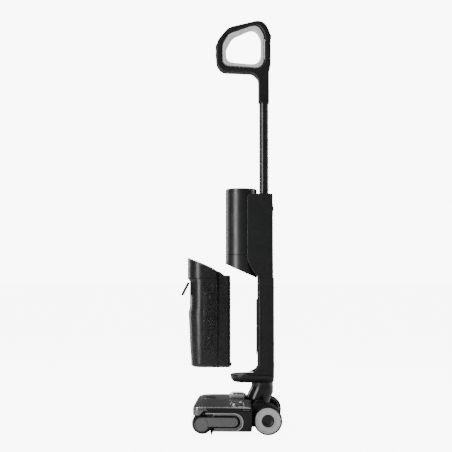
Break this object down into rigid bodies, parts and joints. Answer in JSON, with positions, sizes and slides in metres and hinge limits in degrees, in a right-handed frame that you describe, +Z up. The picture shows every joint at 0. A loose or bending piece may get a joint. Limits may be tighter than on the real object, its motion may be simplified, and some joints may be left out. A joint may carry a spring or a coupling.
{
  "type": "wet dry floor scrubber",
  "caption": "Upright cordless wet and dry floor scrubber with a roller head, loop handle, swivel neck and a dirty water tank drawn out in front of its bay.",
  "frame": {"origin": "middle of the whole footprint at floor level, with the tank drawn out", "axes": "+Z up along the standing body, front of the machine faces -Y, +X is the machine's left side"},
  "size_m": [0.257, 0.2681, 1.0956],
  "materials": {
    "matte_black": "fine matte texture",
    "soft_black": "satin",
    "gloss_black": "glossy",
    "gunmetal": "metallic satin lacquer",
    "smoke": "smoked clear plastic",
    "clear": "clear plastic",
    "pale_grey": "satin",
    "mid_grey": "satin",
    "silver": "machined",
    "rubber": "matte",
    "tyre": "matte",
    "fleece": "short dense pile",
    "steel": "brushed",
    "board_green": "circuit board",
    "cell_blue": "wrapped cells",
    "filter_white": "pleated filter paper"
  },
  "bodies": {
    "head": {"head_chassis": "matte_black", "squeegee_blade": "rubber", "side_panel_left": "matte_black", "side_panel_right": "matte_black", "roller_arm_left": "mid_grey", "roller_arm_right": "mid_grey", "brush_motor": "steel", "rear_housing": "matte_black", "hinge_pin": "steel", "wheel_axle": "steel"},
    "roller": {"roller_core": "soft_black", "roller_fleece": "fleece", "roller_cap_left": "gloss_black", "roller_cap_right": "gloss_black"},
    "wheel_left": {"wheel_tyre_left": "tyre", "wheel_disc_left": "pale_grey", "wheel_cap_left": "matte_black"},
    "wheel_right": {"wheel_tyre_right": "tyre", "wheel_disc_right": "pale_grey", "wheel_cap_right": "matte_black"},
    "brush_cover": {"cover_top": "smoke", "cover_base": "gloss_black", "front_visor": "smoke", "front_strip": "rubber", "duct_window": "clear"},
    "cover_key_left": {"cover_button_left": "gloss_black"},
    "cover_key_right": {"cover_button_right": "gloss_black"},
    "neck": {"neck_yoke": "gloss_black"},
    "upper": {"tank_shelf": "soft_black", "inlet_seal": "rubber", "spine_frame": "soft_black", "guide_pad_left": "rubber", "guide_pad_right": "rubber", "side_cover_left": "matte_black", "side_cover_right": "matte_black", "back_cover": "matte_black", "motor_housing": "gunmetal", "motor_lower_housing": "gunmetal", "display_lens": "gloss_black", "suction_motor": "steel", "battery_pack": "cell_blue", "control_board": "board_green", "pole": "gloss_black", "handle_shell_left": "soft_black", "handle_shell_right": "soft_black", "handle_liner": "pale_grey", "button_panel": "gloss_black"},
    "fan": {"impeller": "silver"},
    "clean_water": {"clean_tank": "smoke", "filler_plug": "rubber"},
    "clean_key": {"tank_button": "soft_black"},
    "mode_key": {"mode_button": "mid_grey"},
    "power_key": {"power_button": "mid_grey"},
    "rear_key": {"rear_button": "mid_grey"},
    "dirty_tank": {"tank_shell": "smoke", "standpipe": "pale_grey"},
    "lid": {"tank_lid": "smoke", "tank_filter": "filter_white"},
    "flap": {"pull_flap": "soft_black"},
    "float": {"float_valve": "pale_grey"}
  },
  "joints": [
    {"name": "roller_spin", "type": "hinge", "parent": "head", "child": "roller", "pos_m": [0, -0.07075, 0.0275], "axis": [1, 0, 0], "continuous": true},
    {"name": "wheel_spin_left", "type": "hinge", "parent": "head", "child": "wheel_left", "pos_m": [0.10825, 0.09765, 0.0365], "axis": [1, 0, 0], "continuous": true},
    {"name": "wheel_spin_right", "type": "hinge", "parent": "head", "child": "wheel_right", "pos_m": [-0.10825, 0.09765, 0.0365], "axis": [1, 0, 0], "continuous": true},
    {"name": "cover_lift", "type": "slide", "parent": "head", "child": "brush_cover", "axis": [0, -0.8, 0.6], "range_m": [0, 0.09]},
    {"name": "cover_button_left", "type": "slide", "parent": "brush_cover", "child": "cover_key_left", "axis": [0, 0, -1], "range_m": [0, 0.001], "stiffness_N_per_m": 300},
    {"name": "cover_button_right", "type": "slide", "parent": "brush_cover", "child": "cover_key_right", "axis": [0, 0, -1], "range_m": [0, 0.001], "stiffness_N_per_m": 300},
    {"name": "neck_tilt", "type": "hinge", "parent": "head", "child": "neck", "pos_m": [0, 0.07725, 0.06], "axis": [-1, 0, 0], "range_deg": [0, 60]},
    {"name": "body_swivel", "type": "hinge", "parent": "neck", "child": "upper", "pos_m": [0, 0.08255, 0.1118], "axis": [0, 0, 1], "range_deg": [-45, 45]},
    {"name": "fan_spin", "type": "hinge", "parent": "upper", "child": "fan", "pos_m": [0, 0.02675, 0.4635], "axis": [0, 0, 1], "continuous": true},
    {"name": "clean_tank_pull", "type": "slide", "parent": "upper", "child": "clean_water", "axis": [0, 1, 0], "range_m": [0, 0.08]},
    {"name": "clean_tank_button", "type": "slide", "parent": "clean_water", "child": "clean_key", "axis": [0, -1, 0], "range_m": [0, 0.001], "stiffness_N_per_m": 300},
    {"name": "mode_button", "type": "slide", "parent": "upper", "child": "mode_key", "axis": [0, 1, 0], "range_m": [0, 0.001], "stiffness_N_per_m": 300},
    {"name": "power_button", "type": "slide", "parent": "upper", "child": "power_key", "axis": [0, 1, 0], "range_m": [0, 0.001], "stiffness_N_per_m": 300},
    {"name": "rear_button", "type": "slide", "parent": "upper", "child": "rear_key", "axis": [0, -1, 0], "range_m": [0, 0.001], "stiffness_N_per_m": 300},
    {"name": "tank_slide", "type": "slide", "parent": "upper", "child": "dirty_tank", "axis": [0, -0.9842, 0.1773], "range_m": [-0.10435, 0.06]},
    {"name": "lid_lift", "type": "slide", "parent": "dirty_tank", "child": "lid", "axis": [0, -0.6, 0.8], "range_m": [0, 0.12]},
    {"name": "flap_swing", "type": "hinge", "parent": "dirty_tank", "child": "flap", "pos_m": [0, -0.11595, 0.3862], "axis": [-1, 0, 0], "range_deg": [-27, 45]},
    {"name": "float_rise", "type": "slide", "parent": "dirty_tank", "child": "float", "axis": [0, 0, 1], "range_m": [0, 0.03]}
  ]
}
